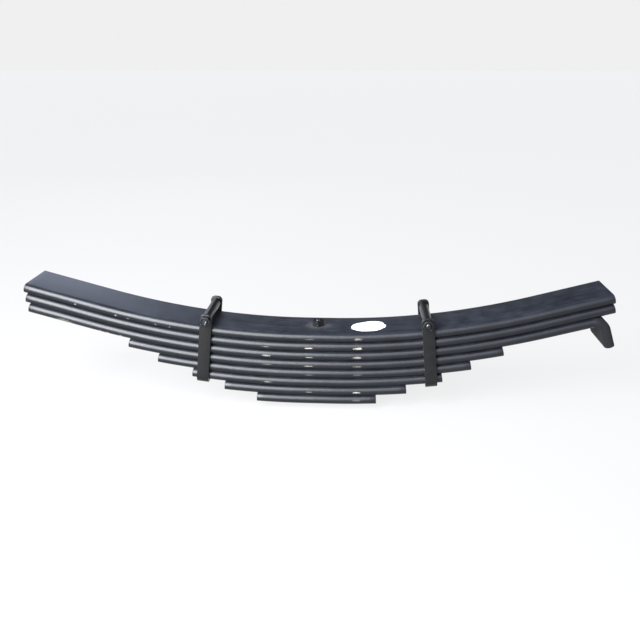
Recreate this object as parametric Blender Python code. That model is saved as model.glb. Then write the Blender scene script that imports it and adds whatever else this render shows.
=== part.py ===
# Eight-leaf slipper spring with a hooked third leaf and two bolted rebound clips.
# Metres, +Z up. X runs along the spring, Y across the leaves. The origin is on the centre bolt's
# axis at the underside of the lowest leaf, the face that sits on the axle.

import math

import bmesh
import bpy
from mathutils import Matrix, Vector

# Distance kept between pieces that touch.
GAP = 0.0003

# Flat spring bar with half-round edges.
LEAF_WIDTH = 0.090
LEAF_THICKNESS = 0.016

# Side view shared by the whole pack: a flat seat, an arc, then a straight slipper end.
SEAT_LENGTH = 0.040
CAMBER_RADIUS = 1.3165          # top face of the main leaf
CAMBER_ANGLE = math.radians(15.33)

# Developed length of each leaf from the centre bolt, left and right.
MAIN_REACH = (0.497, 0.487)
SECOND_REACH = (0.496, 0.489)
THIRD_REACH = (0.4935, 0.456)   # its right end is where the hook starts
FOURTH_REACH = (0.3225, 0.312)
STEPS_LEFT = (0.0495, 0.0585, 0.055, 0.0555)    # how much shorter each next leaf is
STEPS_RIGHT = (0.0525, 0.047, 0.060, 0.051)

# Hook bent down at the right end of the third leaf.
HOOKED_LEAF = 3
HOOK_INNER_RADIUS = 0.011
HOOK_TURN = math.radians(86.2)
HOOK_TAIL = 0.030

# Centre bolt: round locating head below, hexagon nut above.
CENTRE_BOLT_DIAMETER = 0.012
CENTRE_HOLE_PLAY = 0.001        # on the diameter
CENTRE_HEAD_DIAMETER = 0.020
CENTRE_HEAD_HEIGHT = 0.010
CENTRE_NUT_FLATS = 0.018
CENTRE_NUT_HEIGHT = 0.010
CENTRE_NUT_TURN = math.radians(30)    # a corner to the front
CENTRE_BOLT_END = 0.001         # thread left above the nut

# Rebound clips: a strap riveted under one leaf, bolted together above the main leaf.
CLIPPED_LEAF = 6
CLIP_INSET = 0.0193             # strap's middle to the end of the leaf it is riveted to
CLIP_WIDTH = 0.020
CLIP_THICKNESS = 0.005
CLIP_SIDE_PLAY = 0.001          # leg to leaf edge
CLIP_LEAN = math.radians(1.2)   # legs lean outwards from square
CLIP_EAR_RADIUS = 0.0065        # corners at the top of each leg
CLIP_BOLT_RISE = 0.013          # bolt axis above the main leaf

CLIP_BOLT_DIAMETER = 0.010
CLIP_HOLE_PLAY = 0.001
CLIP_BOLT_FLATS = 0.016
CLIP_BOLT_HEAD_HEIGHT = 0.0064
CLIP_NUT_HEIGHT = 0.0084
CLIP_BOLT_END = 0.0025
SPACER_WALL = 0.0025

RIVET_DIAMETER = 0.009
RIVET_HOLE_PLAY = 0.0006
RIVET_HEAD_DIAMETER = 0.017
RIVET_HEAD_HEIGHT = 0.006
RIVET_SINK_DIAMETER = 0.016     # countersunk head in the leaf's top face
RIVET_SINK_DEPTH = 0.0035

# Hinges that stand for the bending of each half of the pack.
FLEX_PIVOT_REACH = 0.110

# Facets.
EDGE_STEPS = 6
CAMBER_STEPS = 14
HOOK_STEPS = 8
CLIP_BEND_STEPS = 5
EAR_STEPS = 6
ROUND_STEPS = 24

PITCH = LEAF_THICKNESS + GAP
CAMBER_STEP = CAMBER_ANGLE / CAMBER_STEPS
CORNER_CHAMFER_SLOPE = math.tan(math.radians(30))
CHAMFER_CIRCLE = 0.95           # of the width across flats
THREAD_CHAMFER = 0.001


def leaf_reaches():
    reaches = [MAIN_REACH, SECOND_REACH, THIRD_REACH, FOURTH_REACH]
    for step_left, step_right in zip(STEPS_LEFT, STEPS_RIGHT):
        left, right = reaches[-1]
        reaches.append((left - step_left, right - step_right))
    return reaches


REACHES = leaf_reaches()
PACK_HEIGHT = len(REACHES) * PITCH - GAP


def middle_depth(number):
    """Depth of a leaf's middle plane below the top of the main leaf."""
    return (number - 1) * PITCH + LEAF_THICKNESS / 2


def place_on_leaf(number, run):
    """Frame on a leaf's middle plane, at a developed distance from the centre bolt."""
    side = math.copysign(1.0, run)
    distance = abs(run)
    depth = middle_depth(number)
    radius = CAMBER_RADIUS + depth
    bent = max(distance - SEAT_LENGTH / 2, 0.0)
    turned = min(bent / radius, CAMBER_ANGLE)
    straight = max(bent - radius * CAMBER_ANGLE, 0.0)
    x = min(distance, SEAT_LENGTH / 2) + radius * math.sin(turned) + straight * math.cos(turned)
    z = PACK_HEIGHT - depth + radius * (1 - math.cos(turned)) + straight * math.sin(turned)
    return Matrix.Translation((side * x, 0, z)) @ Matrix.Rotation(-side * turned, 4, "Y")


def half_stations(number, reach):
    """Developed distances of a half leaf's facet lines, from the seat's edge outwards."""
    radius = CAMBER_RADIUS + middle_depth(number)
    stations = [SEAT_LENGTH / 2]
    for step in range(1, CAMBER_STEPS + 1):
        station = SEAT_LENGTH / 2 + radius * CAMBER_STEP * step
        if station < reach - GAP:
            stations.append(station)
    return stations + [reach]


def hook_places(start):
    """Frames round the hook's bend and along its straight tail."""
    swing = Matrix.Translation((0, 0, -(HOOK_INNER_RADIUS + LEAF_THICKNESS / 2)))
    places = []
    for step in range(1, HOOK_STEPS + 1):
        turn = Matrix.Rotation(HOOK_TURN * step / HOOK_STEPS, 4, "Y")
        places.append(start @ swing @ turn @ swing.inverted())
    places.append(places[-1] @ Matrix.Translation((HOOK_TAIL, 0, 0)))
    return places


def bar_outline():
    """Leaf section in its own YZ plane: flat faces and half-round edges."""
    radius = LEAF_THICKNESS / 2
    middle = LEAF_WIDTH / 2 - radius
    points = []
    for side in (1, -1):
        for step in range(EDGE_STEPS + 1):
            angle = math.pi * (0.5 - step / EDGE_STEPS)
            y = side * (middle + radius * math.cos(angle))
            points.append(Vector((0, y, side * radius * math.sin(angle))))
    return points


def extrude_along(bm, outline, places):
    """Carries a closed outline through a row of frames as one capped solid."""
    first = bm.faces.new([bm.verts.new(places[0] @ point) for point in outline])
    cap = first
    for start, stop in zip(places, places[1:]):
        grown = bmesh.ops.extrude_face_region(bm, geom=[cap])["geom"]
        corners = [part for part in grown if isinstance(part, bmesh.types.BMVert)]
        bmesh.ops.transform(bm, matrix=stop @ start.inverted(), verts=corners)
        if cap is not first:
            bmesh.ops.delete(bm, geom=[cap], context="FACES_ONLY")
        cap = next(part for part in grown if isinstance(part, bmesh.types.BMFace))
    bmesh.ops.recalc_face_normals(bm, faces=bm.faces)


def round_ring(radius, height):
    angles = [math.tau * step / ROUND_STEPS for step in range(ROUND_STEPS)]
    return [Vector((radius * math.cos(a), radius * math.sin(a), height)) for a in angles]


def hex_ring(flats, height, chamfer=0):
    """Hexagon with as many points as a round ring; chamfer is +1 or -1 at an end face."""
    ring = []
    for step in range(ROUND_STEPS):
        angle = math.tau * step / ROUND_STEPS
        radius = flats / 2 / math.cos(angle % (math.pi / 3) - math.pi / 6)
        fall = max(radius - CHAMFER_CIRCLE * flats / 2, 0) * CORNER_CHAMFER_SLOPE * chamfer
        ring.append(Vector((radius * math.cos(angle), radius * math.sin(angle), height - fall)))
    return ring


def join_rings(bm, rings, hollow=False):
    """Skins rings in order; a hollow piece closes on its first ring, a solid one is capped."""
    loops = [[bm.verts.new(point) for point in ring] for ring in rings]
    followers = loops[1:] + (loops[:1] if hollow else [])
    for loop, follower in zip(loops, followers):
        for here in range(ROUND_STEPS):
            after = (here + 1) % ROUND_STEPS
            bm.faces.new((loop[here], loop[after], follower[after], follower[here]))
    if not hollow:
        bm.faces.new(loops[0])
        bm.faces.new(loops[-1])
    bmesh.ops.recalc_face_normals(bm, faces=bm.faces)


def make_material(name, colour, roughness, metallic):
    material = bpy.data.materials.new(name)
    material.use_nodes = True
    shader = material.node_tree.nodes["Principled BSDF"]
    shader.inputs["Base Color"].default_value = (*colour, 1.0)
    shader.inputs["Roughness"].default_value = roughness
    shader.inputs["Metallic"].default_value = metallic
    return material


def make_object(name, bm, material=None, parent=None):
    mesh = bpy.data.meshes.new(name)
    bm.to_mesh(mesh)
    bm.free()
    mesh.shade_smooth()
    mesh.set_sharp_from_angle(angle=math.radians(35))
    if material:
        mesh.materials.append(material)
    item = bpy.data.objects.new(name, mesh)
    bpy.context.scene.collection.objects.link(item)
    item.parent = parent
    return item


def make_empty(name, place, parent=None):
    empty = bpy.data.objects.new(name, None)
    bpy.context.scene.collection.objects.link(empty)
    empty.parent = parent
    empty.matrix_local = place
    return empty


def cut(item, cutter):
    modifier = item.modifiers.new(cutter.name, "BOOLEAN")
    modifier.operation = "DIFFERENCE"
    modifier.solver = "EXACT"
    modifier.object = cutter


def make_cutter(name, rings, parent=None):
    bm = bmesh.new()
    join_rings(bm, rings)
    cutter = make_object(name, bm, parent=parent)
    cutter.hide_render = True
    cutter.display_type = "WIRE"
    return cutter


def make_leaf(number, material):
    reach_left, reach_right = REACHES[number - 1]
    runs = [-run for run in reversed(half_stations(number, reach_left))]
    runs += half_stations(number, reach_right)
    places = [place_on_leaf(number, run) for run in runs]
    if number == HOOKED_LEAF:
        places += hook_places(places[-1])
    seat = Matrix.Translation((0, 0, PACK_HEIGHT - middle_depth(number)))
    bm = bmesh.new()
    extrude_along(bm, bar_outline(), [seat.inverted() @ place for place in places])
    leaf = make_object(f"leaf_{number}", bm, material)
    leaf.matrix_world = seat
    return leaf


def make_centre_bolt(bolt_material, nut_material):
    """Bolt from the head under the pack to the thread above the nut; its origin is under leaf 8."""
    radius = CENTRE_BOLT_DIAMETER / 2
    head = CENTRE_HEAD_DIAMETER / 2
    base = -GAP
    tip = PACK_HEIGHT + GAP + CENTRE_NUT_HEIGHT + CENTRE_BOLT_END
    bm = bmesh.new()
    join_rings(bm, [
        round_ring(head - THREAD_CHAMFER, base - CENTRE_HEAD_HEIGHT),
        round_ring(head, base - CENTRE_HEAD_HEIGHT + THREAD_CHAMFER),
        round_ring(head, base),
        round_ring(radius, base),
        round_ring(radius, tip - THREAD_CHAMFER),
        round_ring(radius - THREAD_CHAMFER, tip),
    ])
    make_object("centre_bolt", bm, bolt_material)
    nut = make_nut("centre_nut", CENTRE_NUT_FLATS, CENTRE_NUT_HEIGHT, radius, nut_material)
    nut.location = (0, 0, PACK_HEIGHT + GAP)
    nut.rotation_euler.z = CENTRE_NUT_TURN


def make_nut(name, flats, height, bolt_radius, material, parent=None):
    """Hexagon nut standing on its origin, chamfered at both faces."""
    bore = bolt_radius + GAP
    face = CHAMFER_CIRCLE * flats / 2
    bm = bmesh.new()
    join_rings(bm, [
        round_ring(bore, 0),
        round_ring(face, 0),
        hex_ring(flats, 0, chamfer=-1),
        hex_ring(flats, height, chamfer=1),
        round_ring(face, height),
        round_ring(bore, height),
    ], hollow=True)
    return make_object(name, bm, material, parent)


class Clip:
    """Heights and distances of a rebound clip, from the middle of its strap's seat."""

    leg_inside = LEAF_WIDTH / 2 + CLIP_SIDE_PLAY
    leg_outside = leg_inside + CLIP_THICKNESS
    stack = CLIPPED_LEAF * PITCH - GAP          # from its leaf's underside to the main leaf's top
    bolt_height = GAP + stack + CLIP_BOLT_RISE
    ear_top = bolt_height + CLIP_WIDTH / 2
    bend_radius = LEAF_THICKNESS / 2            # inside, following the leaf's edge


def clip_lean(side):
    """Shear that leans the legs outwards with height."""
    lean = Matrix.Identity(4)
    lean[0][2] = side * math.tan(CLIP_LEAN)
    return lean


def strap_places():
    """Frames down one leg, across under the leaf and up the other leg."""
    middle = Clip.leg_inside + CLIP_THICKNESS / 2
    bend_y = Clip.leg_inside - Clip.bend_radius
    top = Matrix.Translation((0, middle, Clip.ear_top))
    places = [top, Matrix.Translation((0, middle, Clip.bend_radius))]
    for centre_y in (bend_y, -bend_y):
        centre = Matrix.Translation((0, centre_y, Clip.bend_radius))
        start = places[-1]
        for step in range(1, CLIP_BEND_STEPS + 1):
            turn = Matrix.Rotation(-math.pi / 2 * step / CLIP_BEND_STEPS, 4, "X")
            places.append(centre @ turn @ centre.inverted() @ start)
        if centre_y > 0:
            places.append(Matrix.Translation((0, -2 * bend_y, 0)) @ places[-1])
    places.append(Matrix.Translation((0, 0, Clip.ear_top - Clip.bend_radius)) @ places[-1])
    return places


def make_strap(name, side, material, parent):
    half_width = CLIP_WIDTH / 2
    half_thickness = CLIP_THICKNESS / 2
    corners = ((1, 1), (-1, 1), (-1, -1), (1, -1))
    outline = [Vector((half_width * x, half_thickness * y, 0)) for x, y in corners]
    bm = bmesh.new()
    extrude_along(bm, outline, strap_places())
    ear_edges = []
    for edge in bm.edges:
        start, stop = (vert.co for vert in edge.verts)
        at_top = min(start.z, stop.z) > Clip.ear_top - GAP
        if at_top and abs(start.x - stop.x) < GAP:
            ear_edges.append(edge)
    bmesh.ops.bevel(
        bm, geom=ear_edges, offset=CLIP_EAR_RADIUS, segments=EAR_STEPS, profile=0.5,
        affect="EDGES",
    )
    bmesh.ops.transform(bm, matrix=clip_lean(side), verts=bm.verts)
    return make_object(name, bm, material, parent)


def rivet_profile(play):
    """Radii and heights of a rivet, or of the hole it fills when play is added."""
    radius = (RIVET_DIAMETER + play) / 2
    sunk = (RIVET_SINK_DIAMETER + play) / 2
    leaf_top = GAP + LEAF_THICKNESS
    return radius, sunk, leaf_top


def make_rivet(name, material, parent):
    """Button head under the strap, shank through both, countersunk head in the leaf."""
    radius, sunk, leaf_top = rivet_profile(0)
    head = RIVET_HEAD_DIAMETER / 2
    under = -CLIP_THICKNESS - GAP
    rings = []
    for angle in (80, 60, 40, 20, 0):
        spread = math.radians(angle)
        height = under - RIVET_HEAD_HEIGHT * math.sin(spread)
        rings.append(round_ring(head * math.cos(spread), height))
    rings.append(round_ring(radius, under))
    rings.append(round_ring(radius, leaf_top - RIVET_SINK_DEPTH))
    rings.append(round_ring(sunk, leaf_top))
    bm = bmesh.new()
    join_rings(bm, rings)
    return make_object(name, bm, material, parent)


def make_rivet_cutter(name, parent):
    radius, sunk, leaf_top = rivet_profile(RIVET_HOLE_PLAY)
    clear = 2 * CLIP_THICKNESS
    widening = (sunk - radius) * GAP / RIVET_SINK_DEPTH
    return make_cutter(name, [
        round_ring(radius, -clear),
        round_ring(radius, leaf_top - RIVET_SINK_DEPTH - GAP),
        round_ring(sunk + widening, leaf_top + GAP / 2),
    ], parent)


def make_clip_bolt(name, material, parent):
    """Its origin is under the head; the thread points along its own +Z."""
    radius = CLIP_BOLT_DIAMETER / 2
    face = CHAMFER_CIRCLE * CLIP_BOLT_FLATS / 2
    tip = 2 * Clip.leg_outside + 2 * GAP + CLIP_NUT_HEIGHT + CLIP_BOLT_END
    bm = bmesh.new()
    join_rings(bm, [
        round_ring(face, -CLIP_BOLT_HEAD_HEIGHT),
        hex_ring(CLIP_BOLT_FLATS, -CLIP_BOLT_HEAD_HEIGHT, chamfer=-1),
        hex_ring(CLIP_BOLT_FLATS, 0),
        round_ring(radius, 0),
        round_ring(radius, tip - THREAD_CHAMFER),
        round_ring(radius - THREAD_CHAMFER, tip),
    ])
    return make_object(name, bm, material, parent)


def make_spacer(name, material, parent):
    """Tube round the clip bolt, between the ears; it stands on its origin."""
    bore = (CLIP_BOLT_DIAMETER + CLIP_HOLE_PLAY) / 2
    length = 2 * (Clip.leg_inside - GAP)
    bm = bmesh.new()
    join_rings(bm, [
        round_ring(bore, 0),
        round_ring(bore + SPACER_WALL, 0),
        round_ring(bore + SPACER_WALL, length),
        round_ring(bore, length),
    ], hollow=True)
    return make_object(name, bm, material, parent)


def make_clip(side_name, side, materials):
    """Everything on one clip, hung from an empty on that half's flex axis."""
    reach = REACHES[CLIPPED_LEAF - 1][0 if side < 0 else 1]
    under_leaf = Matrix.Translation((0, 0, -(LEAF_THICKNESS / 2 + GAP)))
    seat = place_on_leaf(CLIPPED_LEAF, side * (reach - CLIP_INSET)) @ under_leaf
    pivot = Matrix.Translation((side * FLEX_PIVOT_REACH, 0, PACK_HEIGHT / 2))
    axis = make_empty(f"{side_name}_flex_axis", pivot)
    frame = make_empty(f"{side_name}_clip_frame", pivot.inverted() @ seat, axis)

    strap = make_strap(f"{side_name}_clip_strap", side, materials["clip"], frame)
    rivet_cutter = make_rivet_cutter(f"{side_name}_rivet_cutter", frame)
    hole_radius = (CLIP_BOLT_DIAMETER + CLIP_HOLE_PLAY) / 2
    hole_length = Clip.leg_outside + CLIP_THICKNESS
    bolt_cutter = make_cutter(f"{side_name}_bolt_cutter", [
        round_ring(hole_radius, -hole_length),
        round_ring(hole_radius, hole_length),
    ], frame)
    cut(strap, bolt_cutter)
    cut(strap, rivet_cutter)
    make_rivet(f"{side_name}_clip_rivet", materials["rivet"], frame)

    bolt = make_clip_bolt(f"{side_name}_clip_bolt", materials["fastener"], frame)
    nut = make_nut(
        f"{side_name}_clip_nut", CLIP_BOLT_FLATS, CLIP_NUT_HEIGHT, CLIP_BOLT_DIAMETER / 2,
        materials["fastener"], frame,
    )
    spacer = make_spacer(f"{side_name}_clip_spacer", materials["spacer"], frame)
    bolt_x = side * math.tan(CLIP_LEAN) * Clip.bolt_height
    towards_nut = Matrix.Rotation(math.pi / 2, 4, "X")
    for item, y in (
        (bolt_cutter, 0.0),
        (bolt, Clip.leg_outside + GAP),
        (spacer, Clip.leg_inside - GAP),
        (nut, -Clip.leg_outside - GAP),
    ):
        item.matrix_local = Matrix.Translation((bolt_x, y, Clip.bolt_height)) @ towards_nut
    return rivet_cutter


def build():
    for item in list(bpy.data.objects):
        bpy.data.objects.remove(item, do_unlink=True)
    paint = make_material("spring_paint", (0.045, 0.055, 0.075), 0.42, 0.0)
    fastener = make_material("bolt_steel", (0.05, 0.05, 0.055), 0.4, 0.6)
    clip_materials = {
        "clip": make_material("clip_paint", (0.03, 0.033, 0.036), 0.6, 0.0),
        "rivet": make_material("rivet_steel", (0.05, 0.05, 0.05), 0.5, 0.4),
        "spacer": make_material("spacer_steel", (0.035, 0.037, 0.04), 0.55, 0.3),
        "fastener": fastener,
    }
    leaves = {number: make_leaf(number, paint) for number in range(1, len(REACHES) + 1)}
    hole = (CENTRE_BOLT_DIAMETER + CENTRE_HOLE_PLAY) / 2
    centre_cutter = make_cutter("centre_hole_cutter", [
        round_ring(hole, -LEAF_THICKNESS),
        round_ring(hole, PACK_HEIGHT + LEAF_THICKNESS),
    ])
    for leaf in leaves.values():
        cut(leaf, centre_cutter)
    make_centre_bolt(fastener, fastener)
    for side_name, side in (("left", -1), ("right", 1)):
        cut(leaves[CLIPPED_LEAF], make_clip(side_name, side, clip_materials))
    bpy.context.view_layer.update()


build()
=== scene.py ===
import math

import bmesh
import bpy
from mathutils import Matrix, Vector


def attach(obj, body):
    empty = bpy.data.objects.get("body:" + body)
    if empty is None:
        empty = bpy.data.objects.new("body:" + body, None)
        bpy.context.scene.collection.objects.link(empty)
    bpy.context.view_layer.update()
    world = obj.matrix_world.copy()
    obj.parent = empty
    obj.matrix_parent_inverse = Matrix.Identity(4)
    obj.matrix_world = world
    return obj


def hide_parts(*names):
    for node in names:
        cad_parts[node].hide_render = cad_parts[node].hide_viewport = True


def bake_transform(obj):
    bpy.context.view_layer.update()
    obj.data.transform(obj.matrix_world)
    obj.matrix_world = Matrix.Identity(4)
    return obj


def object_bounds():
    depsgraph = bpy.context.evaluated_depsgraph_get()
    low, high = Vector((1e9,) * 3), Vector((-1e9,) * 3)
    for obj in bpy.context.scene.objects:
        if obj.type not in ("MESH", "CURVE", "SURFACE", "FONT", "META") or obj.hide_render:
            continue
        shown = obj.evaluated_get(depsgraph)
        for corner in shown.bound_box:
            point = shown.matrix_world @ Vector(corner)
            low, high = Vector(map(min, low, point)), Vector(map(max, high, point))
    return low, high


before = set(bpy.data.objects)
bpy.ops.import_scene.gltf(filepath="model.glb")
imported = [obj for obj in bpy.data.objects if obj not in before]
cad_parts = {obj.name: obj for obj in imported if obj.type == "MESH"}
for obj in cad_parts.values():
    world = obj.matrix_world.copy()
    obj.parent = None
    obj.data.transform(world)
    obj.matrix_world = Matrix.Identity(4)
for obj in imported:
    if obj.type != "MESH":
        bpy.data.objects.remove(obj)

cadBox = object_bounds()

# Metres and degrees. X runs along the spring, Y across the leaves, Z up; the origin is under
# the lowest leaf on the centre bolt's axis.

# One side view for the whole pack: a flat seat, an arc, then straight slipper ends.
pack = {
    "seat": 0.040,
    "camberRadius": 1.3165,     # of the main leaf's top face
    "camberAngle": 15.33,
    "width": 0.090,
    "thickness": 0.016,
    "gap": 0.0003,
    "reaches": (                # developed length from the centre bolt, left and right
        (0.497, 0.487), (0.496, 0.489), (0.4935, 0.456), (0.3225, 0.312),
        (0.273, 0.2595), (0.2145, 0.2125), (0.1595, 0.1525), (0.104, 0.1015),
    ),
    "edgeRound": 0.995,         # of half the thickness, so the faces keep a hair of flat edge
    "edgeSegments": 10,
    "endSoftening": 0.0007,
    "softeningSegments": 3,
    "cutEvery": 0.012,
    "bendFrom": 0.050,          # the halves start to flex here
    "bendTo": 0.170,
}

hook = {
    "leaf": 3,
    "innerRadius": 0.011,
    "turn": 86.2,
    "tail": 0.030,
    "cutEvery": 6.0,            # degrees
    "dryFrom": -0.004,          # along the bar from where the hook starts
    "dryTo": 0.012,
}

pitch = pack["thickness"] + pack["gap"]
packHeight = len(pack["reaches"]) * pitch - pack["gap"]
sides = {"left": -1, "right": 1}
sharpAngle = 35


def newPiece(name, bm, material):
    mesh = bpy.data.meshes.new(name)
    bm.to_mesh(mesh)
    bm.free()
    mesh.materials.append(material)
    mesh.shade_smooth()
    mesh.set_sharp_from_angle(angle=math.radians(sharpAngle))
    piece = bpy.data.objects.new(name, mesh)
    bpy.context.scene.collection.objects.link(piece)
    return piece


def hexColour(code):
    # sRGB hex to linear
    parts = [int(code[start:start + 2], 16) / 255 for start in (1, 3, 5)]
    linear = [p / 12.92 if p <= 0.04045 else ((p + 0.055) / 1.055) ** 2.4 for p in parts]
    return (*linear, 1.0)


def addNode(tree, kind, inputs=None, **settings):
    # an input takes a value or another node's output
    node = tree.nodes.new("ShaderNode" + kind)
    for name, value in settings.items():
        setattr(node, name, value)
    for name, value in (inputs or {}).items():
        if isinstance(value, bpy.types.NodeSocket):
            tree.links.new(value, node.inputs[name])
        else:
            node.inputs[name].default_value = value
    return node


def perMetre(millimetres):
    # noise scale for a pattern of this size
    return 1000 / millimetres


def newMaterial(name, **constants):
    material = bpy.data.materials.new(name)
    material.use_nodes = True
    tree = material.node_tree
    shader = tree.nodes["Principled BSDF"]
    for socket, value in constants.items():
        shader.inputs[socket.replace("_", " ")].default_value = value
    return material, tree, shader


# Places on the pack


def placeOnLeaf(number, run):
    # frame on a leaf's middle plane at a developed distance from the centre bolt
    side = math.copysign(1.0, run)
    distance = abs(run)
    depth = (number - 1) * pitch + pack["thickness"] / 2
    radius = pack["camberRadius"] + depth
    bent = max(distance - pack["seat"] / 2, 0.0)
    angle = min(bent / radius, math.radians(pack["camberAngle"]))
    straight = max(bent - radius * math.radians(pack["camberAngle"]), 0.0)
    x = min(distance, pack["seat"] / 2) + radius * math.sin(angle) + straight * math.cos(angle)
    z = packHeight - depth + radius * (1 - math.cos(angle)) + straight * math.sin(angle)
    return Matrix.Translation((side * x, 0, z)) @ Matrix.Rotation(-side * angle, 4, "Y")


def hookRadius():
    return hook["innerRadius"] + pack["thickness"] / 2


def placeOnHook(distance):
    # distance is measured from where the hook starts, first round the bend, then down the tail
    start = placeOnLeaf(hook["leaf"], pack["reaches"][hook["leaf"] - 1][1])
    swing = Matrix.Translation((0, 0, -hookRadius()))
    angle = min(distance / hookRadius(), math.radians(hook["turn"]))
    tail = distance - angle * hookRadius()
    turn = Matrix.Rotation(angle, 4, "Y")
    return start @ swing @ turn @ swing.inverted() @ Matrix.Translation((tail, 0, 0))


# Leaves


def straightBar(length):
    # flat bar from the middle of the pack outwards: half-round long edges, softened end
    half = pack["thickness"] / 2
    bm = bmesh.new()
    bmesh.ops.create_cube(bm, size=1.0)
    bmesh.ops.scale(bm, vec=(length, pack["width"], pack["thickness"]), verts=bm.verts)
    bmesh.ops.translate(bm, vec=(length / 2, 0, 0), verts=bm.verts)
    longEdges = [e for e in bm.edges if abs(e.verts[0].co.x - e.verts[1].co.x) > length / 2]
    bmesh.ops.bevel(
        bm, geom=longEdges, offset=half * pack["edgeRound"], segments=pack["edgeSegments"],
        profile=0.5, affect="EDGES", material=-1,
    )
    endEdges = [e for e in bm.edges if min(v.co.x for v in e.verts) > length - pack["gap"]]
    bmesh.ops.bevel(
        bm, geom=endEdges, offset=pack["endSoftening"], segments=pack["softeningSegments"],
        profile=0.5, affect="EDGES", material=-1,
    )
    return bm


def cutAcross(bm, distances, axis=(1, 0, 0)):
    # rings of edges square to the bar, so that it can follow a curve
    for distance in distances:
        bmesh.ops.bisect_plane(
            bm, geom=bm.verts[:] + bm.edges[:] + bm.faces[:],
            plane_co=Vector(axis) * distance, plane_no=axis,
        )


def leafCuts(reach, length):
    count = int(reach / pack["cutEvery"])
    cuts = [reach * step / count for step in range(1, count)]
    if length > reach:
        bend = hookRadius() * math.radians(hook["turn"])
        steps = round(hook["turn"] / hook["cutEvery"])
        cuts += [reach + bend * step / steps for step in range(steps + 1)]
    return cuts


def makeLeafHalf(number, sideName, material):
    side = sides[sideName]
    reach = pack["reaches"][number - 1][0 if side < 0 else 1]
    hooked = number == hook["leaf"] and side > 0
    length = reach
    if hooked:
        length += hookRadius() * math.radians(hook["turn"]) + hook["tail"]
    bm = straightBar(length)
    cutAcross(bm, leafCuts(reach, length))
    barPlace = bm.verts.layers.float_vector.new("barPlace")
    toEnd = bm.verts.layers.float.new("toEnd")
    for vert in bm.verts:
        run, across, height = vert.co
        vert[barPlace] = (side * run, across, height)
        vert[toEnd] = length - run
        if run > reach and hooked:
            place = placeOnHook(run - reach)
        else:
            place = placeOnLeaf(number, side * run)
        vert.co = place @ Vector((0, across, height))
    bmesh.ops.recalc_face_normals(bm, faces=bm.faces)
    half = newPiece(f"leaf_{number}_{sideName}", bm, material)
    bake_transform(half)
    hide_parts(f"leaf_{number}")


# Spring paint: alkyd enamel dipped over hot-rolled spring steel. Satin and blue-black, it pools
# a little, shows the mill scale as a low ripple, and gathers grey dust on the flat faces.
springPaint = {
    "enamel": "#08090b",
    "enamelLight": "#0f1115",
    "toneRange": (0.05, 0.47),
    "leafShift": (0.37, 0.11, 0.05),    # patterns move on by this from leaf to leaf
    "dust": "#6c7381",
    "dustShare": 0.112,
    "dustSlope": (0.80, 0.98),  # Z of the normal where dust starts and is full
    "roughness": (0.30, 0.40),
    "ior": 1.36,
    "hookDryness": 0.62,        # added roughness where the hook was bent hot
    "mottle": 22,               # mm
    "streak": (90, 5),          # mm along and across the bar
    "millScale": 2.6,           # mm, coarser than the real 0.5 mm so that it shows
    "millScaleDepth": 0.00006,
    "rippleDepth": 0.00012,
    "bareSteel": "#8d8a86",
    "chip": 3.5,                # mm
    "chipRange": (0.98, 1.12),
    "chipShare": 0.55,
    "chipRim": (0.0002, 0.0016),        # from the cut end, full and faded
    "chipAtEnd": 0.42,
    "rust": "#6b3d22",
    "rustSpeck": 7,             # mm
    "rustRange": (0.735, 0.765),
    "rustShare": 0.8,
    "rustReach": 0.06,          # from the cut end
    "rustAtEnd": 0.05,
    "scuff": "#9a958b",
    "markPaint": "#eceeed",
}

# How all rubs end: a soft edge broken up by a fine noise.
rubEdge = {
    "grain": 2.2,               # mm
    "detail": 4.0,
    "roughness": 0.75,
    "noiseRange": (0.25, 0.75),
    "raggedness": 0.85,
    "softness": 0.16,
    "depth": 0.006,
}

# Pale rubs on the front round edges: run, height on the edge, half length, half height, strength.
rubs = {
    1: ((0.0683, 0.0000, 0.0060, 0.0016, 0.30), (-0.0117, -0.0010, 0.0070, 0.0008, 0.16),
        (-0.409, -0.0022, 0.0011, 0.0012, 0.45), (-0.340, -0.0030, 0.0012, 0.0016, 0.60),
        (-0.319, -0.0034, 0.0012, 0.0013, 0.50), (-0.272, -0.0034, 0.0010, 0.0012, 0.50),
        (-0.248, -0.0038, 0.0009, 0.0010, 0.45)),
    2: ((-0.0856, -0.0008, 0.0070, 0.0008, 0.30), (-0.0137, -0.0008, 0.0052, 0.0010, 0.74),
        (0.0683, -0.0006, 0.0062, 0.0019, 0.70)),
    3: ((-0.0856, -0.0004, 0.0070, 0.0013, 0.42), (-0.0137, -0.0010, 0.0064, 0.0008, 0.42),
        (0.0683, -0.0008, 0.0066, 0.0018, 0.42), (-0.431, -0.0044, 0.0130, 0.0024, 0.22),
        (-0.370, -0.0058, 0.0018, 0.0018, 0.62), (-0.357, -0.0058, 0.0018, 0.0018, 0.62),
        (-0.334, -0.0058, 0.0018, 0.0018, 0.62)),
    4: ((-0.0856, -0.0004, 0.0075, 0.0013, 0.13), (-0.0137, -0.0008, 0.0066, 0.0008, 0.45),
        (0.0683, -0.0006, 0.0064, 0.0016, 0.16)),
    5: ((-0.0137, -0.0010, 0.0062, 0.0009, 0.14), (0.0683, 0.0, 0.0060, 0.0014, 0.10)),
    6: ((-0.0856, -0.0004, 0.0066, 0.0009, 0.34),),
    7: ((-0.0137, -0.0004, 0.0050, 0.0008, 0.28), (0.0683, -0.0002, 0.0064, 0.0013, 0.62)),
    8: ((0.0683, 0.0010, 0.0070, 0.0014, 0.10),),
}

# Paint scuffed by the spanner round the centre nut.
nutScuff = {
    "place": (0, 0, 0.008),
    "halfSize": (0.0185, 0.0175, 0.004),
    "strength": 0.10,
    "softness": 0.30,
}

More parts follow.
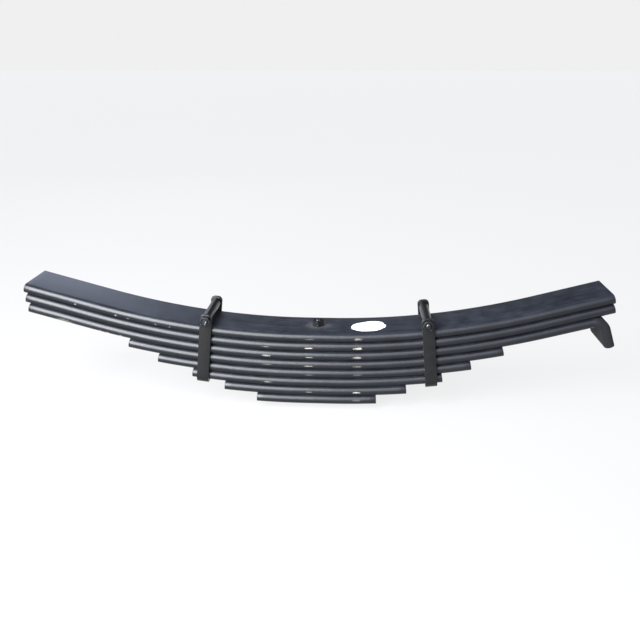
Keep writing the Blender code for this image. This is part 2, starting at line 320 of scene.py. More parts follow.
# Blank oval of white marking paint brushed on the main leaf's top face.
markOval = {
    "leaf": 1,
    "place": (0.0862, -0.0070, 0.008),
    "halfSize": (0.0290, 0.0215, 0.004),
    "softness": 0.03,
    "lobe": (0.0940, 0.0065, 0.008),
    "lobeSize": (0.018, 0.0125, 0.004),
    "lobeSoftness": 0.08,
    "coat": 0.0001,
}

# The brush leaves a slow wave in the edge of the marking paint.
brushEdge = {
    "grain": 16,                # mm
    "detail": 3.0,
    "roughness": 0.5,
    "noiseRange": (0.3, 0.7),
    "raggedness": 0.06,
}


def ovalMask(tree, where, place, halfSize, ragged, softness):
    # 1 inside an oval round this place, with an edge broken up by the ragged noise
    offset = addNode(tree, "VectorMath", {0: where, 1: place}, operation="SUBTRACT")
    scaled = addNode(tree, "VectorMath", {0: offset.outputs[0], 1: halfSize}, operation="DIVIDE")
    reach = addNode(tree, "VectorMath", {0: scaled.outputs[0]}, operation="LENGTH")
    broken = addNode(tree, "Math", {0: reach.outputs["Value"], 1: ragged}, operation="ADD")
    return addNode(tree, "MapRange", {
        "Value": broken.outputs[0], "From Min": 1.0 - softness, "From Max": 1.0 + softness,
        "To Min": 1.0, "To Max": 0.0,
    }, interpolation_type="SMOOTHSTEP").outputs[0]


def strongest(tree, masks):
    # the highest of several masks at each point
    highest = masks[0]
    for mask in masks[1:]:
        highest = addNode(tree, "Math", {0: highest, 1: mask}, operation="MAXIMUM").outputs[0]
    return highest


def brokenEdge(tree, where, edge):
    # noise that pushes the edge of a mask in and out
    noise = addNode(tree, "TexNoise", {
        "Vector": where, "Scale": perMetre(edge["grain"]), "Detail": edge["detail"],
        "Roughness": edge["roughness"],
    }).outputs["Fac"]
    low, high = edge["noiseRange"]
    return addNode(tree, "MapRange", {
        "Value": noise, "From Min": low, "From Max": high,
        "To Min": -edge["raggedness"], "To Max": edge["raggedness"],
    }).outputs[0]


def enamelTone(tree, leafPlace):
    # slow mottle times streaks drawn along the bar, and the streaks on their own
    mottle = addNode(tree, "TexNoise", {
        "Vector": leafPlace, "Scale": perMetre(springPaint["mottle"]), "Detail": 5.0,
        "Roughness": 0.55,
    }).outputs["Fac"]
    along, across = springPaint["streak"]
    streakPlace = addNode(tree, "Mapping", {
        "Vector": leafPlace, "Scale": (perMetre(along), perMetre(across), perMetre(across)),
    }).outputs[0]
    streaks = addNode(tree, "TexNoise", {
        "Vector": streakPlace, "Scale": 1.0, "Detail": 4.0, "Roughness": 0.6,
    }).outputs["Fac"]
    tone = addNode(tree, "Math", {0: mottle, 1: streaks}, operation="MULTIPLY").outputs[0]
    low, high = springPaint["toneRange"]
    toneShare = addNode(tree, "MapRange", {
        "Value": tone, "From Min": low, "From Max": high,
    }).outputs[0]
    return toneShare, streaks


def dustyEnamel(tree, toneShare):
    # enamel with dust on the faces that look up
    enamel = addNode(tree, "Mix", {
        0: toneShare, 6: hexColour(springPaint["enamel"]), 7: hexColour(springPaint["enamelLight"]),
    }, data_type="RGBA").outputs[2]
    normal = addNode(tree, "NewGeometry").outputs["Normal"]
    faceUp = addNode(tree, "SeparateXYZ", {0: normal}).outputs["Z"]
    start, full = springPaint["dustSlope"]
    up = addNode(tree, "MapRange", {
        "Value": faceUp, "From Min": start, "From Max": full, "To Max": springPaint["dustShare"],
    }, interpolation_type="SMOOTHSTEP").outputs[0]
    dustShare = addNode(tree, "Math", {0: up, 1: toneShare}, operation="MULTIPLY").outputs[0]
    return addNode(tree, "Mix", {
        0: dustShare, 6: enamel, 7: hexColour(springPaint["dust"]),
    }, data_type="RGBA").outputs[2]


def chipsAndRust(tree, colour, objectPlace, leafPlace):
    # chips on the cut end and its rim, with a few specks of rust
    toEnd = addNode(tree, "Attribute", attribute_name="toEnd").outputs["Fac"]
    grain = addNode(tree, "TexNoise", {
        "Vector": objectPlace, "Scale": perMetre(springPaint["chip"]), "Detail": 6.0,
        "Roughness": 0.7,
    }).outputs["Fac"]
    full, faded = springPaint["chipRim"]
    nearEnd = addNode(tree, "MapRange", {
        "Value": toEnd, "From Min": full, "From Max": faded, "To Min": springPaint["chipAtEnd"],
        "To Max": 0.0,
    }).outputs[0]
    wear = addNode(tree, "Math", {0: nearEnd, 1: grain}, operation="ADD").outputs[0]
    low, high = springPaint["chipRange"]
    worn = addNode(tree, "MapRange", {
        "Value": wear, "From Min": low, "From Max": high, "To Max": springPaint["chipShare"],
    }).outputs[0]
    chipped = addNode(tree, "Mix", {
        0: worn, 6: colour, 7: hexColour(springPaint["bareSteel"]),
    }, data_type="RGBA").outputs[2]
    speck = addNode(tree, "TexNoise", {
        "Vector": leafPlace, "Scale": perMetre(springPaint["rustSpeck"]), "Detail": 8.0,
        "Roughness": 0.75,
    }).outputs["Fac"]
    endZone = addNode(tree, "MapRange", {
        "Value": toEnd, "From Min": 0.0, "From Max": springPaint["rustReach"],
        "To Min": springPaint["rustAtEnd"], "To Max": 0.0,
    }).outputs[0]
    rust = addNode(tree, "Math", {0: speck, 1: endZone}, operation="ADD").outputs[0]
    low, high = springPaint["rustRange"]
    rusty = addNode(tree, "MapRange", {
        "Value": rust, "From Min": low, "From Max": high, "To Max": springPaint["rustShare"],
    }).outputs[0]
    return addNode(tree, "Mix", {
        0: rusty, 6: chipped, 7: hexColour(springPaint["rust"]),
    }, data_type="RGBA").outputs[2]


def rubMask(tree, number, barPlace, broken):
    # all rubs of one leaf, on its round front edge
    half = pack["thickness"] / 2
    masks = []
    for run, height, halfLength, halfHeight, strength in rubs[number]:
        across = half - math.sqrt(half ** 2 - height ** 2) - pack["width"] / 2
        mask = ovalMask(
            tree, barPlace, (run, across, height), (halfLength, rubEdge["depth"], halfHeight),
            broken, rubEdge["softness"],
        )
        masks.append(addNode(tree, "Math", {0: mask, 1: strength}, operation="MULTIPLY").outputs[0])
    return strongest(tree, masks)


def markedTop(tree, colour, barPlace, broken):
    # the main leaf's top face: the nut's scuff, then the marking paint with its own mask
    scuffed = ovalMask(
        tree, barPlace, nutScuff["place"], nutScuff["halfSize"], broken, nutScuff["softness"],
    )
    scuffShare = addNode(
        tree, "Math", {0: scuffed, 1: nutScuff["strength"]}, operation="MULTIPLY",
    ).outputs[0]
    scuffedColour = addNode(tree, "Mix", {
        0: scuffShare, 6: colour, 7: hexColour(springPaint["scuff"]),
    }, data_type="RGBA").outputs[2]
    brushed = brokenEdge(tree, barPlace, brushEdge)
    oval = ovalMask(
        tree, barPlace, markOval["place"], markOval["halfSize"], brushed, markOval["softness"],
    )
    lobe = ovalMask(
        tree, barPlace, markOval["lobe"], markOval["lobeSize"], brushed, markOval["lobeSoftness"],
    )
    painted = strongest(tree, [oval, lobe])
    markedColour = addNode(tree, "Mix", {
        0: painted, 6: scuffedColour, 7: hexColour(springPaint["markPaint"]),
    }, data_type="RGBA").outputs[2]
    return markedColour, painted


def paintRoughness(tree, number, toneShare, barPlace):
    # satin that is duller where dust lies, and dry on the hook
    smooth, dull = springPaint["roughness"]
    roughness = addNode(tree, "MapRange", {
        "Value": toneShare, "To Min": smooth, "To Max": dull,
    }).outputs[0]
    if number != hook["leaf"]:
        return roughness
    hookStart = pack["reaches"][number - 1][1]
    onHook = addNode(tree, "MapRange", {
        "Value": addNode(tree, "SeparateXYZ", {0: barPlace}).outputs["X"],
        "From Min": hookStart + hook["dryFrom"], "From Max": hookStart + hook["dryTo"],
        "To Max": springPaint["hookDryness"],
    }, interpolation_type="SMOOTHSTEP").outputs[0]
    return addNode(tree, "Math", {0: roughness, 1: onHook}, operation="ADD").outputs[0]


def paintRelief(tree, objectPlace, streaks, painted):
    # mill scale under the paint, a slow ripple along the bar, and the coat of the mark
    mill = addNode(tree, "TexNoise", {
        "Vector": objectPlace, "Scale": perMetre(springPaint["millScale"]), "Detail": 3.0,
        "Roughness": 0.6,
    }).outputs["Fac"]
    scale = addNode(tree, "Bump", {
        "Height": mill, "Distance": springPaint["millScaleDepth"], "Strength": 1.0,
    }).outputs[0]
    ripple = addNode(tree, "Bump", {
        "Height": streaks, "Distance": springPaint["rippleDepth"], "Strength": 1.0,
        "Normal": scale,
    }).outputs[0]
    if painted is None:
        return ripple
    return addNode(tree, "Bump", {
        "Height": painted, "Distance": markOval["coat"], "Strength": 1.0, "Normal": ripple,
    }).outputs[0]


def makeSpringPaint(number):
    material, tree, shader = newMaterial(
        f"springPaint{number}", Metallic=0.0, IOR=springPaint["ior"],
    )
    objectPlace = addNode(tree, "TexCoord").outputs["Object"]
    barPlace = addNode(tree, "Attribute", attribute_name="barPlace").outputs["Vector"]
    leafPlace = addNode(tree, "Mapping", {
        "Vector": barPlace, "Location": [shift * number for shift in springPaint["leafShift"]],
    }).outputs[0]
    toneShare, streaks = enamelTone(tree, leafPlace)
    colour = dustyEnamel(tree, toneShare)
    colour = chipsAndRust(tree, colour, objectPlace, leafPlace)
    broken = brokenEdge(tree, objectPlace, rubEdge)
    colour = addNode(tree, "Mix", {
        0: rubMask(tree, number, barPlace, broken), 6: colour, 7: hexColour(springPaint["scuff"]),
    }, data_type="RGBA").outputs[2]
    painted = None
    if number == markOval["leaf"]:
        colour, painted = markedTop(tree, colour, barPlace, broken)
    tree.links.new(colour, shader.inputs["Base Color"])
    tree.links.new(paintRoughness(tree, number, toneShare, barPlace), shader.inputs["Roughness"])
    tree.links.new(paintRelief(tree, objectPlace, streaks, painted), shader.inputs["Normal"])
    return material


springPaints = {}
for leafNumber in range(1, len(pack["reaches"]) + 1):
    springPaints[leafNumber] = makeSpringPaint(leafNumber)
    for sideName in sides:
        makeLeafHalf(leafNumber, sideName, springPaints[leafNumber])
print("leaves:", len(springPaints))


# Fasteners and clips


def turned(profile, segments=36):
    # solid of revolution about Z from (radius, height) points, which start and end on the axis
    # or close on themselves
    bm = bmesh.new()
    verts = [bm.verts.new((radius, 0, height)) for radius, height in profile]
    edges = [bm.edges.new(pair) for pair in zip(verts, verts[1:])]
    bmesh.ops.spin(
        bm, geom=verts + edges, cent=(0, 0, 0), axis=(0, 0, 1), dvec=(0, 0, 0),
        angle=math.tau, steps=segments, use_merge=True, use_duplicate=False,
    )
    bmesh.ops.remove_doubles(bm, verts=bm.verts, dist=1e-6)
    bmesh.ops.recalc_face_normals(bm, faces=bm.faces)
    return bm


def hexPrism(flats, low, high):
    bm = bmesh.new()
    bmesh.ops.create_circle(bm, cap_ends=True, segments=6, radius=flats / math.sqrt(3))
    bmesh.ops.rotate(bm, matrix=Matrix.Rotation(math.radians(30), 3, "Z"), verts=bm.verts)
    bmesh.ops.translate(bm, vec=(0, 0, low), verts=bm.verts)
    raised = bmesh.ops.extrude_face_region(bm, geom=bm.faces[:])["geom"]
    top = [part for part in raised if isinstance(part, bmesh.types.BMVert)]
    bmesh.ops.translate(bm, vec=(0, 0, high - low), verts=top)
    bmesh.ops.recalc_face_normals(bm, faces=bm.faces)
    return bm


def combine(bm, other, operation):
    # exact Boolean of two closed shapes, returned as one shape
    pair = []
    for name, shape in (("blank", bm), ("tool", other)):
        mesh = bpy.data.meshes.new(name)
        shape.to_mesh(mesh)
        shape.free()
        pair.append(bpy.data.objects.new(name, mesh))
        bpy.context.scene.collection.objects.link(pair[-1])
    blank, tool = pair
    modifier = blank.modifiers.new("combine", "BOOLEAN")
    modifier.operation = operation
    modifier.solver = "EXACT"
    modifier.object = tool
    graph = bpy.context.evaluated_depsgraph_get()
    result = bmesh.new()
    result.from_mesh(blank.evaluated_get(graph).to_mesh())
    for item in pair:
        mesh = item.data
        bpy.data.objects.remove(item)
        bpy.data.meshes.remove(mesh)
    return result


# Shares of a screw thread's pitch: a flat crest, a flank, and a narrow groove.
threadShape = {
    "depth": 0.54,
    "crest": 0.15,
    "grooveFrom": 0.55,
    "grooveTo": 0.62,
}


def threadedEnd(size, tip):
    # thread and chamfered point of a bolt, up to the axis; one groove for each pitch
    radius, pitchLength = size["boltRadius"], size["threadPitch"]
    start = tip - size["threadLength"]
    depth = threadShape["depth"] * pitchLength
    points = [(radius, start)]
    for step in range(int((tip - size["plainTip"] - start) / pitchLength)):
        height = start + step * pitchLength
        points += [
            (radius, height), (radius, height + threadShape["crest"] * pitchLength),
            (radius - depth, height + threadShape["grooveFrom"] * pitchLength),
            (radius - depth, height + threadShape["grooveTo"] * pitchLength),
        ]
    points += [(radius - inset, tip - back) for inset, back in size["point"]]
    return points + [(0, tip)]


# Hexagons of nuts and bolt heads, in shares of the width across flats.
hexagon = {
    "chamferFrom": 0.475,
    "chamferTo": 0.60,
    "chamferAngle": 30,
    "chamferSegments": 48,
    "mouth": 0.0011,            # metres, chamfer of a nut's bore
    "cutPast": 0.001,           # metres, the cutter's overshoot
}


def hexBlank(flats, low, high, bothFaces):
    # corners turned down at the lower face, and at the upper one too
    rim = hexagon["chamferFrom"] * flats
    reach = hexagon["chamferTo"] * flats
    fall = (reach - rim) * math.tan(math.radians(hexagon["chamferAngle"]))
    profile = [(0, low), (rim, low), (reach, low + fall)]
    if bothFaces:
        profile += [(reach, high - fall), (rim, high), (0, high)]
    else:
        profile += [(reach, high), (0, high)]
    blank = turned(profile, segments=hexagon["chamferSegments"])
    return combine(hexPrism(flats, low, high), blank, "INTERSECT")


def hexNut(size):
    # stands on the origin; chamfered at both faces and at the mouth of its bore
    height, bore = size["height"], size["boltRadius"] + pack["gap"]
    mouth, past = hexagon["mouth"], hexagon["cutPast"]
    cutter = turned([
        (0, -past), (bore + mouth + past, -past), (bore, mouth), (bore, height - mouth),
        (bore + mouth + past, height + past), (0, height + past),
    ])
    return combine(hexBlank(size["flats"], 0, height, True), cutter, "DIFFERENCE")


centre = {
    "boltRadius": 0.006,
    "headRadius": 0.010,
    "headHeight": 0.010,
    "headFootEdge": ((0.0012, 0), (0.0003, 0.0005), (0, 0.0012)),    # in from the side, up
    "headRim": 0.0004,
    "flats": 0.018,
    "height": 0.010,
    "nutTurn": 30,              # degrees, a corner to the front
    "boltEnd": 0.001,
    "threadPitch": 0.00175,
    "threadLength": 0.020,
    "plainTip": 0.0008,
    "point": ((0.0010, 0.0006), (0.0018, 0)),   # in from the thread, back from the tip
}

clip = {
    "leaf": 6,
    "inset": 0.0193,            # strap's middle to the end of its leaf
    "width": 0.020,
    "thickness": 0.005,
    "sidePlay": 0.001,
    "lean": 1.2,                # legs lean out with height
    "boltRise": 0.013,          # bolt axis above the main leaf
    "rim": 0.0007,
    "rimSegments": 3,
    "earRadius": 0.0065,
    "earSegments": 8,
    "baseSteps": 4,
    "bendSteps": 10,
    "legCutEvery": 0.010,
    "legCuts": 9,
    "boltRadius": 0.005,
    "boltPlay": 0.0005,         # on the radius
    "drillReach": 0.12,
    "flats": 0.016,
    "headHeight": 0.0064,
    "height": 0.0084,           # of the nut
    "boltEnd": 0.0025,
    "shankSink": 0.002,         # how far the shank starts inside the head
    "threadPitch": 0.0015,
    "threadLength": 0.018,
    "plainTip": 0.0006,
    "point": ((0.0009, 0.0004), (0.0014, 0)),
    "spacerWall": 0.0025,
    "spacerRim": 0.0004,
    "rivetRadius": 0.0045,
    "rivetHead": (0.0085, 0.006),
    "rivetDomeSteps": 10,
    "rivetSink": (0.008, 0.0035),
}

legInside = pack["width"] / 2 + clip["sidePlay"]
legOutside = legInside + clip["thickness"]
bendRadius = pack["thickness"] / 2
clipBore = clip["boltRadius"] + clip["boltPlay"]
boltHeight = clip["leaf"] * pitch + clip["boltRise"]
earTop = boltHeight + clip["width"] / 2


# Black oxide on rolled-thread bolts and nuts: dark and semi-gloss, rubbed bright where a
# spanner or the thread's crests have worn it.
fastener = {
    "oxide": "#0e0f11",
    "oxideLight": "#1f2022",
    "bright": "#8f9296",
    "brightRange": (0.62, 0.72),
    "metallic": 0.75,
    "roughness": (0.34, 0.55),
    "grain": 4,                 # mm
    "grainDepth": 0.00005,
    "boltBrightShare": 0.06,
    "nutBrightShare": 0.0,
}


def makeFastenerSteel(name, brightShare):
    material, tree, shader = newMaterial(name, Metallic=fastener["metallic"])
    objectPlace = addNode(tree, "TexCoord").outputs["Object"]
    grain = addNode(tree, "TexNoise", {
        "Vector": objectPlace, "Scale": perMetre(fastener["grain"]), "Detail": 6.0,
        "Roughness": 0.65,
    }).outputs["Fac"]
    oxide = addNode(tree, "Mix", {
        0: grain, 6: hexColour(fastener["oxide"]), 7: hexColour(fastener["oxideLight"]),
    }, data_type="RGBA").outputs[2]
    low, high = fastener["brightRange"]
    rubbed = addNode(tree, "MapRange", {
        "Value": grain, "From Min": low - brightShare, "From Max": high - brightShare,
    }).outputs[0]
    colour = addNode(tree, "Mix", {
        0: rubbed, 6: oxide, 7: hexColour(fastener["bright"]),
    }, data_type="RGBA").outputs[2]
    tree.links.new(colour, shader.inputs["Base Color"])
    smooth, dull = fastener["roughness"]
    gloss = addNode(tree, "MapRange", {"Value": rubbed, "To Min": dull, "To Max": smooth})
    tree.links.new(gloss.outputs[0], shader.inputs["Roughness"])
    relief = addNode(tree, "Bump", {
        "Height": grain, "Distance": fastener["grainDepth"], "Strength": 1.0,
    })
    tree.links.new(relief.outputs[0], shader.inputs["Normal"])
    return material


# Clip paint: satin charcoal enamel sprayed on hot-rolled mild-steel strip. It is painted paler
# along the rims, partly as rim wear and partly as a painted highlight on the rims.
clipPaint = {
    "enamel": "#060707",
    "enamelLight": "#0e0f0f",
    # pale rim colour: rim wear and a painted highlight along the rims
    "rubbed": "#6f7172",
    "rimWearAndHighlightRange": (0.36, 0.56),
    "rimWearAndHighlightShare": 0.8,
    "ior": 1.34,
    "roughness": (0.25, 0.34),
    "mottle": 12,               # mm
    "mottleRange": (0.35, 0.68),
    "scratch": 2.5,             # mm
    "scratchDepth": 0.00008,
}


def makeClipPaint():
    material, tree, shader = newMaterial("clipPaint", Metallic=0.0, IOR=clipPaint["ior"])
    objectPlace = addNode(tree, "TexCoord").outputs["Object"]
    mottle = addNode(tree, "TexNoise", {
        "Vector": objectPlace, "Scale": perMetre(clipPaint["mottle"]), "Detail": 6.0,
        "Roughness": 0.6,
    }).outputs["Fac"]
    low, high = clipPaint["mottleRange"]
    share = addNode(tree, "MapRange", {
        "Value": mottle, "From Min": low, "From Max": high,
    }).outputs[0]
    enamel = addNode(tree, "Mix", {
        0: share, 6: hexColour(clipPaint["enamel"]), 7: hexColour(clipPaint["enamelLight"]),
    }, data_type="RGBA").outputs[2]
    # painted highlight: the rims are painted paler, partly as wear and partly as the rims'
    # highlight
    rim = addNode(tree, "Attribute", attribute_name="rim").outputs["Fac"]
    scratch = addNode(tree, "TexNoise", {
        "Vector": objectPlace, "Scale": perMetre(clipPaint["scratch"]), "Detail": 5.0,
        "Roughness": 0.7,
    }).outputs["Fac"]
    rimWearAndHighlight = addNode(tree, "Math", {0: rim, 1: scratch}, operation="MULTIPLY").outputs[0]
    low, high = clipPaint["rimWearAndHighlightRange"]
    rubbed = addNode(tree, "MapRange", {
        "Value": rimWearAndHighlight, "From Min": low, "From Max": high, "To Max": clipPaint["rimWearAndHighlightShare"],
    }).outputs[0]
    colour = addNode(tree, "Mix", {
        0: rubbed, 6: enamel, 7: hexColour(clipPaint["rubbed"]),
    }, data_type="RGBA").outputs[2]
    tree.links.new(colour, shader.inputs["Base Color"])
    smooth, dull = clipPaint["roughness"]
    gloss = addNode(tree, "MapRange", {"Value": share, "To Min": dull, "To Max": smooth})
    tree.links.new(gloss.outputs[0], shader.inputs["Roughness"])
    relief = addNode(tree, "Bump", {
        "Height": scratch, "Distance": clipPaint["scratchDepth"], "Strength": 1.0,
    })
    tree.links.new(relief.outputs[0], shader.inputs["Normal"])
    return material


def strapMap(across, along, outward):
    # flat strip to the clip's U: base under the leaf, two bends, two legs
    middle = clip["thickness"] / 2
    side = math.copysign(1.0, along)
    distance = abs(along)
    bendStart = legInside - bendRadius
    bendLength = (bendRadius + middle) * math.pi / 2
    if distance <= bendStart:
        return Vector((across, along, -middle - outward))
    if distance <= bendStart + bendLength:
        angle = (distance - bendStart) / (bendRadius + middle)
        radius = bendRadius + middle + outward
        y = bendStart + radius * math.sin(angle)
        return Vector((across, side * y, bendRadius - radius * math.cos(angle)))
    y = legInside + middle + outward
    return Vector((across, side * y, bendRadius + distance - bendStart - bendLength))


def strapBar():
    # flat strip with rounded ear corners and softened rims
    width, thickness = clip["width"], clip["thickness"]
    bend = (bendRadius + thickness / 2) * math.pi / 2
    half = legInside - bendRadius + bend + earTop - bendRadius
    bm = bmesh.new()
    bmesh.ops.create_cube(bm, size=1.0)
    bmesh.ops.scale(bm, vec=(width, 2 * half, thickness), verts=bm.verts)
    upright = [e for e in bm.edges if abs(e.verts[0].co.z - e.verts[1].co.z) > thickness / 2]
    bmesh.ops.bevel(
        bm, geom=upright, offset=clip["earRadius"], segments=clip["earSegments"],
        profile=0.5, affect="EDGES", material=-1,
    )
    rims = [e for e in bm.edges if e.calc_face_angle(0) > math.radians(60)]
    bmesh.ops.bevel(
        bm, geom=rims, offset=clip["rim"], segments=clip["rimSegments"], profile=0.5,
        affect="EDGES", material=-1,
    )
    start = legInside - bendRadius
    cuts = [start + bend * step / clip["bendSteps"] for step in range(clip["bendSteps"] + 1)]
    cuts += [start + bend + clip["legCutEvery"] * step for step in range(1, clip["legCuts"] + 1)]
    cuts += [start * step / clip["baseSteps"] for step in range(clip["baseSteps"])]
    cutAcross(bm, cuts + [-cut for cut in cuts if cut > 0], axis=(0, 1, 0))
    return bm


def strapShape(side):
    bm = strapBar()
    rim = bm.verts.layers.float.new("rim")
    flatWidth = clip["width"] / 2 - clip["rim"]
    flatThickness = clip["thickness"] / 2 - clip["rim"] / 2
    lean = side * math.tan(math.radians(clip["lean"]))
    for vert in bm.verts:
        across, along, outward = vert.co
        # rim marks the rounded rims, which the clip paint paints paler as wear and as a painted
        # highlight
        vert[rim] = float(abs(across) > flatWidth and abs(outward) < flatThickness)
        vert.co = strapMap(across, along, outward)
        vert.co.x += lean * vert.co.z
    bmesh.ops.recalc_face_normals(bm, faces=bm.faces)
    return bm


def clipFrame(side):
    reach = pack["reaches"][clip["leaf"] - 1][0 if side < 0 else 1]
    under = Matrix.Translation((0, 0, -(pack["thickness"] / 2 + pack["gap"])))
    return placeOnLeaf(clip["leaf"], side * (reach - clip["inset"])) @ under


def placed(bm, matrix):
    bmesh.ops.transform(bm, matrix=matrix, verts=bm.verts)
    return bm


def rideOn(piece, body, node):
    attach(piece, body)
    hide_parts(node)


def hexBolt():
    # origin under the head; the thread points along +Z
    radius, sink = clip["boltRadius"], clip["shankSink"]
    tip = 2 * legOutside + 2 * pack["gap"] + clip["height"] + clip["boltEnd"]
    shank = turned([(0, -sink), (radius, -sink)] + threadedEnd(clip, tip))
    return combine(hexBlank(clip["flats"], -clip["headHeight"], 0, False), shank, "UNION")


def spacerTube():
    # stands on the origin and is as long as the room between the legs
    outer = clipBore + clip["spacerWall"]
    length = 2 * (legInside - pack["gap"])
    soft = clip["spacerRim"]
    return turned([
        (clipBore, soft), (clipBore + soft, 0), (outer - soft, 0), (outer, soft),
        (outer, length - soft), (outer - soft, length), (clipBore + soft, length),
        (clipBore, length - soft), (clipBore, soft),
    ])


def rivetBlank():
    # domed head under the strap, shank, and a head sunk flush in the leaf
    headRadius, headRise = clip["rivetHead"]
    sinkRadius, sinkDepth = clip["rivetSink"]
    under = -clip["thickness"] - pack["gap"]
    leafTop = pack["gap"] + pack["thickness"]
    steps = clip["rivetDomeSteps"]
    dome = []
    for step in range(steps + 1):
        angle = math.radians(90 - step * 90 / steps)
        dome.append((headRadius * math.cos(angle), under - headRise * math.sin(angle)))
    return turned(dome + [
        (clip["rivetRadius"], under), (clip["rivetRadius"], leafTop - sinkDepth),
        (sinkRadius, leafTop), (0, leafTop),
    ])


def makeClip(sideName, materials):
    side = sides[sideName]
    body = f"{sideName}_clip"
    place = clipFrame(side)
    boltX = side * math.tan(math.radians(clip["lean"])) * boltHeight
    towardsNut = Matrix.Rotation(math.pi / 2, 4, "X")

    def onBolt(y):
        return place @ Matrix.Translation((boltX, y, boltHeight)) @ towardsNut

    drill = clip["drillReach"]
    hole = turned([(0, -drill), (clipBore, -drill), (clipBore, drill), (0, drill)])
    drilled = combine(placed(strapShape(side), place), placed(hole, onBolt(0)), "DIFFERENCE")
    bolt = placed(hexBolt(), onBolt(legOutside + pack["gap"]))
    nut = placed(hexNut(clip), onBolt(-legOutside - pack["gap"]))
    spacer = placed(spacerTube(), onBolt(legInside - pack["gap"]))
    rivet = placed(rivetBlank(), place)
    for name, shape, finish, slotName in (
        ("strap", drilled, "paint", "clip_paint"),
        ("bolt", bolt, "bolt", "fastener_steel"),
        ("nut", nut, "nut", "fastener_steel"),
        ("spacer", spacer, "paint", "clip_paint"),
        ("rivet", rivet, "paint", "rivet_steel"),
    ):
        piece = newPiece(f"{body}_{name}_shape", shape, materials[finish])
        rideOn(piece, body, f"{body}_{name}")


def makeCentreBolt(materials):
    radius, head, rim = centre["boltRadius"], centre["headRadius"], centre["headRim"]
    base = -pack["gap"]
    tip = packHeight + pack["gap"] + centre["height"] + centre["boltEnd"]
    foot = base - centre["headHeight"]
    profile = [(0, foot)] + [(head - inset, foot + up) for inset, up in centre["headFootEdge"]]
    profile += [(head, base - rim), (head - rim, base), (radius, base)]
    shape = turned(profile + threadedEnd(centre, tip))
    bolt = newPiece("centre_bolt_shape", shape, materials["bolt"])
    rideOn(bolt, "spring_pack", "centre_bolt")
    standing = Matrix.Translation((0, 0, packHeight + pack["gap"]))
    standing @= Matrix.Rotation(math.radians(centre["nutTurn"]), 4, "Z")
    nut = newPiece("centre_nut_shape", placed(hexNut(centre), standing), materials["nut"])
    rideOn(nut, "spring_pack", "centre_nut")


pieceMaterials = {
    "paint": makeClipPaint(),
    "bolt": makeFastenerSteel("boltSteel", fastener["boltBrightShare"]),
    "nut": makeFastenerSteel("nutSteel", fastener["nutBrightShare"]),
}
makeCentreBolt(pieceMaterials)
for sideName in sides:
    makeClip(sideName, pieceMaterials)
print("centre bolt and clips done")


# Floor, light and camera
studio = {
    "floor": "#3f3f3e",
    "floorShade": "#3d3c3c",
    "floorMottle": 900,         # mm
    "floorGlow": 0.80,
    "floorSize": 30.0,
    "horizon": 0.87,
    "band": 0.16,               # sky above the horizon, darker to the right
    "bandRight": 0.07,
    "bandRightAt": 0.2,         # X of the direction where it is darkest
    "bandHeights": (5, 10),     # degrees, where the horizon ends and the band is full
    "tintHeights": (5, 15),
    "skyTint": "#dfe6ff",
    "dome": 2.7,
    "domeCentre": (-0.25, -0.60, 0.76),
    "domeEdge": (30, 62),       # degrees from its centre, full and faded
}

floorMaterial, floorTree, floorShader = newMaterial(
    "floorPaper", Roughness=0.9, Emission_Color=(1, 1, 1, 1), Emission_Strength=studio["floorGlow"],
)
paperGrain = addNode(floorTree, "TexNoise", {
    "Vector": addNode(floorTree, "TexCoord").outputs["Object"],
    "Scale": perMetre(studio["floorMottle"]),
}).outputs["Fac"]
floorTree.links.new(addNode(floorTree, "Mix", {
    0: paperGrain, 6: hexColour(studio["floor"]), 7: hexColour(studio["floorShade"]),
}, data_type="RGBA").outputs[2], floorShader.inputs["Base Color"])
floorShape = bmesh.new()
bmesh.ops.create_grid(floorShape, x_segments=1, y_segments=1, size=studio["floorSize"])
bmesh.ops.translate(floorShape, vec=(0, 0, cadBox[0][2]), verts=floorShape.verts)
floor = newPiece("floor", floorShape, floorMaterial)

world = bpy.data.worlds.new("studio")
bpy.context.scene.world = world
world.use_nodes = True
worldTree = world.node_tree
background = worldTree.nodes["Background"]
direction = addNode(worldTree, "TexCoord").outputs["Generated"]
directionParts = addNode(worldTree, "SeparateXYZ", {0: direction})
height = directionParts.outputs["Z"]
band = addNode(worldTree, "MapRange", {
    "Value": directionParts.outputs["X"], "From Min": 0.0, "From Max": studio["bandRightAt"],
    "To Min": studio["band"], "To Max": studio["bandRight"],
}, interpolation_type="SMOOTHSTEP").outputs[0]
horizonEnd, bandFull = (math.sin(math.radians(angle)) for angle in studio["bandHeights"])
fromHorizon = addNode(worldTree, "MapRange", {
    "Value": height, "From Min": horizonEnd, "From Max": bandFull,
    "To Min": studio["horizon"], "To Max": band,
}, interpolation_type="SMOOTHSTEP").outputs[0]
towardsDome = addNode(worldTree, "VectorMath", {
    0: direction, 1: Vector(studio["domeCentre"]).normalized(),
}, operation="DOT_PRODUCT").outputs["Value"]
domeFull, domeFaded = (math.cos(math.radians(angle)) for angle in studio["domeEdge"])
above = addNode(worldTree, "MapRange", {
    "Value": towardsDome, "From Min": domeFaded, "From Max": domeFull,
    "To Max": studio["dome"] - studio["band"],
}, interpolation_type="SMOOTHSTEP").outputs[0]
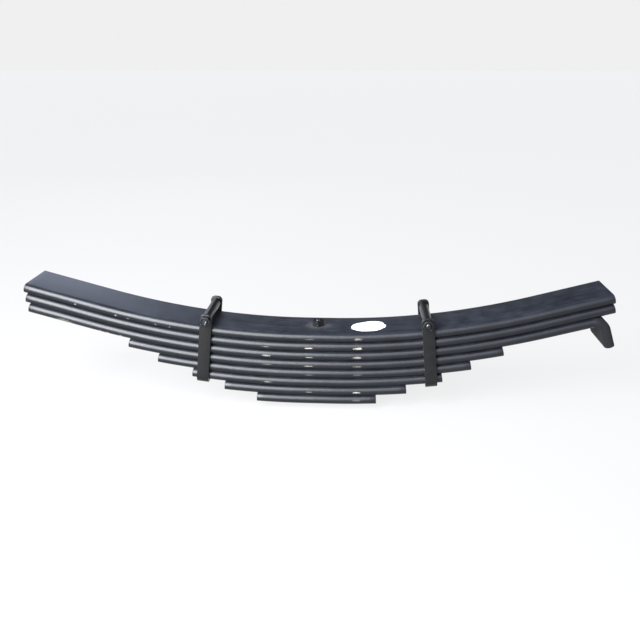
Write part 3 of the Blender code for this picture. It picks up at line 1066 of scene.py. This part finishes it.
strength = addNode(worldTree, "Math", {0: fromHorizon, 1: above}, operation="ADD").outputs[0]
worldTree.links.new(strength, background.inputs["Strength"])
tintStart, tintFull = (math.sin(math.radians(angle)) for angle in studio["tintHeights"])
skyTint = addNode(worldTree, "MapRange", {
    "Value": height, "From Min": tintStart, "From Max": tintFull,
}).outputs[0]
worldTree.links.new(addNode(worldTree, "Mix", {
    0: skyTint, 6: hexColour("#ffffff"), 7: hexColour(studio["skyTint"]),
}, data_type="RGBA").outputs[2], background.inputs["Color"])


softBoxes = {
    "frontLeftBox": {
        "place": (-0.68, -1.25, 0.85),
        "target": (-0.40, 0, 0.15),
        "size": (0.9, 1.6),
        "radiance": 36.0,
        "colour": "#f1f4f9",
    },
    "backLeftBox": {
        "place": (-1.05, 2.1, 1.15),
        "target": (-0.3, 0, 0.15),
        "size": (0.9, 0.7),
        "radiance": 2.8,
        "colour": "#dce6ff",
    },
}


def addSoftBox(name, box):
    # an area light with a given brightness of its own face
    data = bpy.data.lights.new(name, "AREA")
    data.shape = "RECTANGLE"
    data.size, data.size_y = box["size"]
    data.energy = box["radiance"] * data.size * data.size_y * math.pi
    data.color = hexColour(box["colour"])[:3]
    light = bpy.data.objects.new(name, data)
    place = Vector(box["place"])
    light.location = place
    light.rotation_euler = (Vector(box["target"]) - place).to_track_quat("-Z", "Y").to_euler()
    bpy.context.scene.collection.objects.link(light)
    light.visible_camera = False


for name, box in softBoxes.items():
    addSoftBox(name, box)

view = {
    "place": (0.065, -1.160, 0.5657),
    "pitch": 20.14,             # down
    "yaw": 3.06,                # to the left
    "lens": 40.54,
    "sensor": 36,
}
cameraData = bpy.data.cameras.new("camera")
cameraData.sensor_width = view["sensor"]
cameraData.lens = view["lens"]
camera = bpy.data.objects.new("camera", cameraData)
camera.location = view["place"]
camera.rotation_euler = (math.radians(90 - view["pitch"]), 0, math.radians(view["yaw"]))
bpy.context.scene.collection.objects.link(camera)
bpy.context.scene.camera = camera
bpy.context.scene.view_settings.view_transform = "Standard"
print("stage done")
